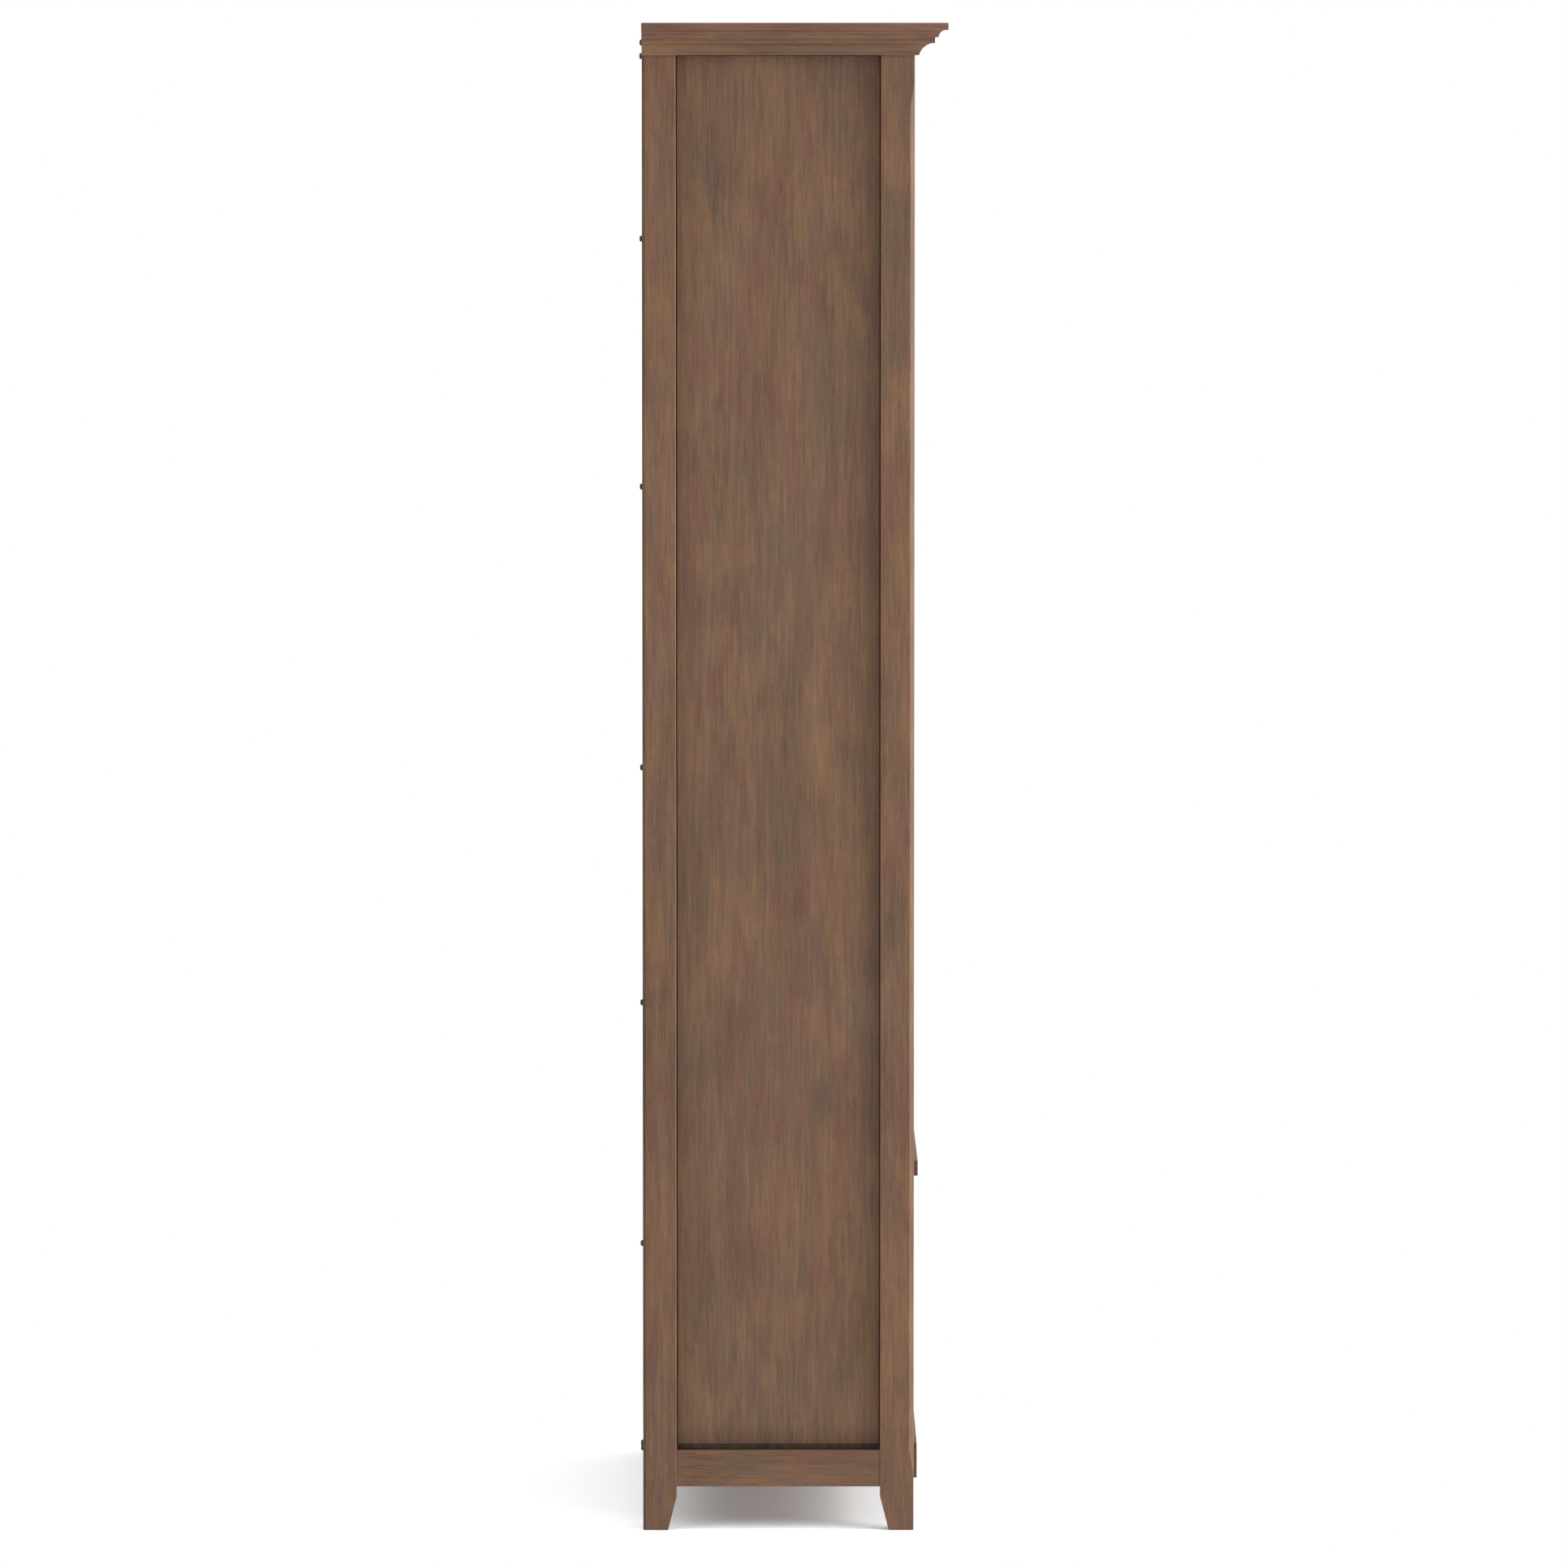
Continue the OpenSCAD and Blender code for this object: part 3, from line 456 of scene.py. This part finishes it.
def back_leg(side):
    """A rear leg, whose outer rear edge is rounded more than the others and painted darker, as shade;
    its other outer edge is painted paler, as a highlight.
    """
    node = f"leg_back_{side}"
    low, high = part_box(node)
    out = low[X] if side == "left" else high[X]
    bm = clean_copy(node)
    round_post_edge(bm, out, high[Y], BACK_ARRIS, 4)
    round_post_edge(bm, out, low[Y], LEG_ARRIS, 2)
    bm.normal_update()
    bm.faces.index_update()
    painted_shading = {}
    for f in bm.faces:
        if min(abs(f.normal.x), abs(f.normal.y)) > 0.1:     # the faces that round the two edges
            painted_shading[f.index] = PAINTED_BACK_EDGE_SHADE if f.normal.y > 0 else PAINTED_LEG_EDGE_HIGHLIGHT
    timber(bm, node, Z, FRAME, BACK_LEG_TONE, painted_shading, LEG_ARRIS, PAINTED_LEG_EDGE_HIGHLIGHT)


def lower_side_rail(side):
    """The rail under a side panel, whose ledge is painted darker, as shade, like the rebate above it."""
    node = f"side_rail_lower_{side}"
    bm = clean_copy(node)
    bm.faces.index_update()
    ledge = {f.index: PAINTED_REBATE_SHADE for f in bm.faces if f.normal.z > FACING}
    timber(bm, node, Y, FRAME, LOWER_RAIL_TONE, ledge)


def side_panel(side):
    """A side panel with a thin rebate where it meets its legs and rails. The rebate is painted darker,
    as shade, and painted shade also darkens the panel towards its foot.
    """
    node = f"side_panel_{side}"
    out = -1 if side == "left" else 1
    leg_f, leg_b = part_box(f"leg_front_{side}"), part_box(f"leg_back_{side}")
    rail_l, rail_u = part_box(f"side_rail_lower_{side}"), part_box(f"side_rail_upper_{side}")
    front, back = leg_f[1][Y] + REBATE, leg_b[0][Y] - REBATE
    foot, crest = rail_l[1][Z] + REBATE_LOW, rail_u[0][Z] - REBATE_TOP
    bm = clean_copy(node)
    painted_foot_shade = bm.verts.layers.float.new("painted_foot_shade")
    outer = [f for f in bm.faces if f.normal.x * out > FACING]
    bmesh.ops.translate(bm, vec=(-out * REBATE_DEPTH, 0, 0), verts=[v for f in outer for v in f.verts])
    outer = slice_faces(bm, outer, Y, (front, back))
    outer = slice_faces(bm, outer, Z, (foot, foot + PAINTED_FOOT_SHADE_RISE, crest))
    field = []
    for f in outer:
        middle = f.calc_center_median()
        if front < middle.y < back and foot < middle.z < crest:
            field.append(f)
    sunken = [f for f in outer if f not in field]
    for f in raise_faces(bm, field, (out * REBATE_DEPTH, 0, 0)):
        for v in f.verts:
            if v.co.z < foot + 0.1 * MM:
                v[painted_foot_shade] = PAINTED_FOOT_SHADE
    bmesh.ops.recalc_face_normals(bm, faces=bm.faces)
    bm.faces.index_update()
    timber(bm, node, Z, PANEL, painted_shading={f.index: PAINTED_REBATE_SHADE for f in sunken})


# ---- hardware ----

# corners of a pan head's profile, as shares of its radius, of its flat top's radius and of its height
HEAD_PROFILE = ((0, 0, 0), (1, 0, 0), (1, 0, 0.35), (0.7, 0.3, 0.72), (0, 1, 1))
# heads of screws and pins: radius, height, radius of the flat top and depth of the cross recess
LEAF_SCREW = (2.6 * MM, 0.5 * MM, 1.7 * MM, 0.44 * MM)
STRIKE_SCREW = (2.2 * MM, 0.18 * MM, 1.5 * MM, 0.15 * MM)
PLATE_PIN = (1.3 * MM, 0.7 * MM, 0.7 * MM, 0.0)
# staggered places of a leaf's screws: up from its middle and back from the hinge line
LEAF_SCREW_PLACES = ((-17 * MM, 11.5 * MM), (0, 8.5 * MM), (17 * MM, 11.5 * MM))
STRIKE_SCREW_REACH = 8.7 * MM      # from the middle of a strike
PLATE_PIN_REACH = 11.5 * MM        # from the middle of a pull plate
PLATE_PIN_RISE = 9.5 * MM
BACK_RECESS = 1.6 * MM     # depth of the cross recess in a back screw
BACK_FLAT = 0.6            # flat top of a back screw's head, over its radius
BACK_SPARE = 0.02 * MM     # keeps the heads inside the CAD ones
POLE = (1.8 * MM, 2.2 * MM, 8.4 * MM)      # a catch's pole plate: thickness, depth and height
POLE_REACH = 4 * MM        # from the middle of the catch
POLE_INSET = 1.0 * MM      # middle of a pole plate, from the catch's mouth
POLE_ARRIS = 0.1 * MM
SHORTEST_POLE = 1 * MM
CURVED = 35                # degrees up to which the faces of turned metal run together
FLAT_CURVED = 20           # the same for the pull plates, whose faces have to stay flat


def plain(node, material):
    """A CAD piece whose shape needs nothing more."""
    for holder in NODES[node].material_slots:
        holder.material = material


def cut_cross(bm, top, flat, depth):
    """Sinks a cross recess into the flat top of a head that stands on the origin."""
    half, length = (flat * part for part in CROSS_ARMS)
    parts = slice_faces(bm, [top], X, (-length, -half, half, length))
    parts = slice_faces(bm, parts, Y, (-length, -half, half, length))
    cross = []
    for f in parts:
        near, away = sorted(abs(c) for c in f.calc_center_median()[:2])
        if near < half and away < length:
            cross.append(f)
    raise_faces(bm, cross, (0, 0, -depth))


def head(bm, place, facing, radius, height, flat, depth):
    """The pan head of a screw, or of a pin where depth is 0; depth is that of its cross recess."""
    own = bmesh.new()
    points = [own.verts.new((wide * radius + level * flat, 0, up * height))
              for wide, level, up in HEAD_PROFILE]
    edges = [own.edges.new(pair) for pair in zip(points, points[1:])]
    bmesh.ops.spin(own, geom=points + edges, cent=(0, 0, 0), axis=(0, 0, 1), angle=math.tau,
                   steps=SCREW_SIDES, use_merge=True)
    bmesh.ops.remove_doubles(own, verts=own.verts, dist=1e-7)
    rim = [e for e in own.edges if e.is_boundary]
    top = bmesh.ops.contextual_create(own, geom=rim)["faces"][0]
    if depth:
        cut_cross(own, top, flat, depth)
    bmesh.ops.recalc_face_normals(own, faces=own.faces)
    turn = Vector(facing).to_track_quat("Z", "Y").to_matrix().to_4x4()
    turn.translation = place
    bmesh.ops.transform(own, matrix=turn, verts=own.verts)
    join(bm, own)


def join(bm, own):
    """Moves one bmesh into another."""
    mesh = bpy.data.meshes.new("joined")
    own.to_mesh(mesh)
    own.free()
    bm.from_mesh(mesh)
    bpy.data.meshes.remove(mesh)


def hardware(node, finish, offset=STEEL_ARRIS, heads=(), smooth=CURVED):
    """A metal piece with its sharp edges broken, its curves smoothed and the heads of its screws."""
    bm = clean_copy(node)
    soften(bm, offset, SHORTEST_STEEL, STEEL_CORNER)
    for each in heads:
        head(bm, *each)
    piece = finish_piece(bm, f"{node}_metal", BODY_OF[node], finish, smooth)
    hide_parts(node)


def leaf_screws(node, face_x, inward):
    """Three screws in each leaf of a node: on the frame they face inward, on a door outward."""
    found = []
    for low, high in parts_of(node):
        side = math.copysign(1, low[X])
        middle = (low[Z] + high[Z]) / 2
        for rise, back in LEAF_SCREW_PLACES:
            place = (side * face_x, HINGE_Y + back, middle + rise)
            found.append((place, (-side if inward else side, 0, 0), *LEAF_SCREW))
    return found


def plate_pins(node):
    """Two round-headed pins that hold a pull's plate."""
    low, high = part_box(node)
    x, z = (low[X] + high[X]) / 2, (low[Z] + high[Z]) / 2 + PLATE_PIN_RISE
    return [((x + step, PLATE_FACE, z), (0, -1, 0), *PLATE_PIN)
            for step in (-PLATE_PIN_REACH, PLATE_PIN_REACH)]


def strike_screws(node):
    """Two low-headed screws that hold a strike."""
    low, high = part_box(node)
    x, z = (low[X] + high[X]) / 2, (low[Z] + high[Z]) / 2
    return [((x + step, high[Y], z), (0, 1, 0), *STRIKE_SCREW)
            for step in (-STRIKE_SCREW_REACH, STRIKE_SCREW_REACH)]


def back_screw_heads():
    """Pan heads with a cross recess, where the CAD screws have theirs."""
    bm = bmesh.new()
    for low, high in parts_of("back_screws"):
        radius = (high[X] - low[X]) / 2
        place = ((low[X] + high[X]) / 2, BACK_FACE, (low[Z] + high[Z]) / 2)
        height = high[Y] - BACK_FACE - BACK_SPARE
        head(bm, place, (0, 1, 0), radius, height, BACK_FLAT * radius, BACK_RECESS)
    piece = finish_piece(bm, "back_screw_heads", BODY_OF["back_screws"], DARK, CURVED)
    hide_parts("back_screws")


def catch_poles():
    """The edges of the two steel plates in the mouth of each magnetic catch."""
    bm = bmesh.new()
    for low, high in parts_of("magnet_catches"):
        for step in (-POLE_REACH, POLE_REACH):
            made = bmesh.ops.create_cube(bm, size=1.0)["verts"]
            place = ((low[X] + high[X]) / 2 + step, low[Y] + POLE_INSET, (low[Z] + high[Z]) / 2)
            bmesh.ops.scale(bm, vec=POLE, verts=made)
            bmesh.ops.translate(bm, vec=place, verts=made)
    soften(bm, POLE_ARRIS, SHORTEST_POLE, STEEL_CORNER)
    finish_piece(bm, "catch_poles", BODY_OF["magnet_catches"], PLATED, CURVED)


# ---- the cabinet ----

for side in ("left", "right"):
    board(f"leg_front_{side}", Z, FRAME, FRONT_LEG_TONE, LEG_ARRIS, PAINTED_LEG_EDGE_HIGHLIGHT)
    back_leg(side)
    lower_side_rail(side)
    board(f"side_rail_upper_{side}", Y, FRAME)
    board(f"crown_{side}", Y, FRAME, arris=CROWN_ARRIS, lighter=PAINTED_CROWN_EDGE_HIGHLIGHT)
    side_panel(side)
board("crown_front", X, FRAME, arris=CROWN_ARRIS, lighter=PAINTED_CROWN_EDGE_HIGHLIGHT)
for name in ("front_rail_top", "front_rail_middle", "front_rail_bottom",
             "back_rail_top", "back_rail_bottom", "top_board"):
    board(name, X, FRAME)
for name in ("middle_board", "bottom_board",
             "shelf_upper_1", "shelf_upper_2", "shelf_upper_3", "shelf_lower"):
    board(name, X, PANEL)
for name in ("back_panel_upper", "back_panel_lower"):
    board(name, Z, PANEL)
for door in DOORS:
    board(f"{door}_stiles", Z, FRAME)
    board(f"{door}_rails", X, FRAME)
    board(f"{door}_panel", Z, PANEL)
    leaves, plate, strike = f"{door}_hinge_leaves", f"{door}_pull_plate", f"{door}_strike"
    hardware(leaves, DARK, heads=leaf_screws(leaves, DOOR_LEAF_X, False))
    hardware(plate, PULL, heads=plate_pins(plate), smooth=FLAT_CURVED)
    plain(f"{door}_pull_ring", bronze)
    hardware(strike, PLATED, heads=strike_screws(strike))
hardware("hinge_frame_leaves", DARK, heads=leaf_screws("hinge_frame_leaves", FRAME_LEAF_X, True))
plain("hinge_pins", bronze)
plain("shelf_pins", zinc)
back_screw_heads()
hardware("magnet_catches", MOULDED, offset=HOUSING_ARRIS)
catch_poles()


# ---- floor, light and camera ----

FLOOR_HALF = 12.0          # metres from the middle of the floor to its edges
FLOOR_SEEN = (2.04, 2.1, 2.14, 1.0)    # how much brighter than lit it looks, less the wood's brown cast
FLOOR_CLOUD = 333 * MM     # size of its faint clouds
SHADE_REACH = 0.3          # how far from the legs their shade can be seen, in metres
CROWN_REACH = 0.04         # how far the crown stands out past the legs, in metres
LEGS_HALF = (CAD_BOX[1][X] - CROWN_REACH, CAD_BOX[1][Y], 0)    # from the middle to the legs' outside
# lamps: place, the point they are aimed at, width and height in metres, watts
LAMPS = {
    "front_key": ((-2.0, -5.5, 2.3), (0, 0, 1.0), (6.5, 4.0), 350),
    "rear_fill": ((-2.5, 5.5, 2.6), (0, 0, 0.6), (6.0, 4.0), 85),
    "overhead": ((-0.6, -0.3, 4.6), (0, 0, 0.5), (3.0, 3.0), 50),
}
SKY_LEVEL = 0.48           # how bright the sky lights the object; where it shows itself it is white, 1
CAMERA_PLACE = (-12.341, 0.0115, 1.8269)
CAMERA_DOWN = 4.366        # degrees below level; it looks along X
LENS = 228.4


def showing(tree):
    """One for the rays that see the background: straight, mirrored or through glass."""
    ray = add(tree, "LightPath").node.outputs
    bent = add(tree, "Math", (ray["Is Glossy Ray"], ray["Is Transmission Ray"]), operation="MAXIMUM")
    return add(tree, "Math", (ray["Is Camera Ray"], bent), operation="MAXIMUM")


def white_floor():
    """A matte white floor. It looks brighter than the lamps make it, so that only the shade near the
    cabinet shows, and turns plain white where it leaves the cabinet behind."""
    material, tree = new_material("white_floor")
    place = add(tree, "TexCoord", out="Object")
    seen = showing(tree)
    cloud = add(tree, "TexNoise",
                {"Vector": place, "Scale": 1 / FLOOR_CLOUD, "Detail": 2.0, "Roughness": 0.55})
    paint = add(tree, "Mix", {0: cloud, 6: srgb("#f4f4f4"), 7: srgb("#f7f7f7")}, 2, data_type="RGBA")
    lift = add(tree, "Mix", {0: seen, 6: srgb("#ffffff"), 7: FLOOR_SEEN}, 2, data_type="RGBA")
    paint = add(tree, "Mix", {0: 1.0, 6: paint, 7: lift}, 2, data_type="RGBA", blend_type="MULTIPLY")
    matte = add(tree, "BsdfDiffuse", {"Color": paint})
    past = add(tree, "VectorMath", (place,), operation="ABSOLUTE")
    past = add(tree, "VectorMath", (past, LEGS_HALF), operation="SUBTRACT")
    past = add(tree, "VectorMath", (past, (0, 0, 0)), operation="MAXIMUM")
    away = add(tree, "VectorMath", (past,), "Value", operation="LENGTH")
    pale = add(tree, "MapRange", (away, 0.0, SHADE_REACH, 0.0, 1.0), interpolation_type="SMOOTHSTEP")
    part = add(tree, "Math", (seen, pale), operation="MULTIPLY")
    white = add(tree, "Emission", {"Color": srgb("#ffffff"), "Strength": 1.0})
    add(tree, "OutputMaterial", {"Surface": add(tree, "MixShader", (part, matte, white))})
    bm = bmesh.new()
    bmesh.ops.create_grid(bm, x_segments=1, y_segments=1, size=FLOOR_HALF)
    mesh = bpy.data.meshes.new("floor")
    bm.to_mesh(mesh)
    bm.free()
    mesh.materials.append(material)
    floor = bpy.data.objects.new("floor", mesh)
    bpy.context.scene.collection.objects.link(floor)


def soft_light(name, place, target, size, power):
    data = bpy.data.lights.new(name, "AREA")
    data.shape = "RECTANGLE"
    data.size, data.size_y = size
    data.energy = power
    made = bpy.data.objects.new(name, data)
    made.location = place
    direction = [t - p for t, p in zip(target, place)]
    made.rotation_euler = Vector(direction).to_track_quat("-Z", "Y").to_euler()
    bpy.context.scene.collection.objects.link(made)


white_floor()
for name, lamp in LAMPS.items():
    soft_light(name, *lamp)

world = bpy.data.worlds.new("studio")
bpy.context.scene.world = world
world.use_nodes = True
sky_tree = world.node_tree
sky_tree.nodes.clear()
shown = add(sky_tree, "MapRange", (showing(sky_tree), 0.0, 1.0, SKY_LEVEL, 1.0))
sky = add(sky_tree, "Background", {"Color": srgb("#ffffff"), "Strength": shown})
add(sky_tree, "OutputWorld", {"Surface": sky})

camera_data = bpy.data.cameras.new("camera")
camera_data.sensor_width = 36.0
camera_data.lens = LENS
camera_data.clip_end = 1000.0
camera = bpy.data.objects.new("camera", camera_data)
camera.location = CAMERA_PLACE
camera.rotation_euler = (math.radians(90 - CAMERA_DOWN), 0, math.radians(-90))
bpy.context.scene.collection.objects.link(camera)
bpy.context.scene.camera = camera
bpy.context.scene.view_settings.view_transform = "Standard"
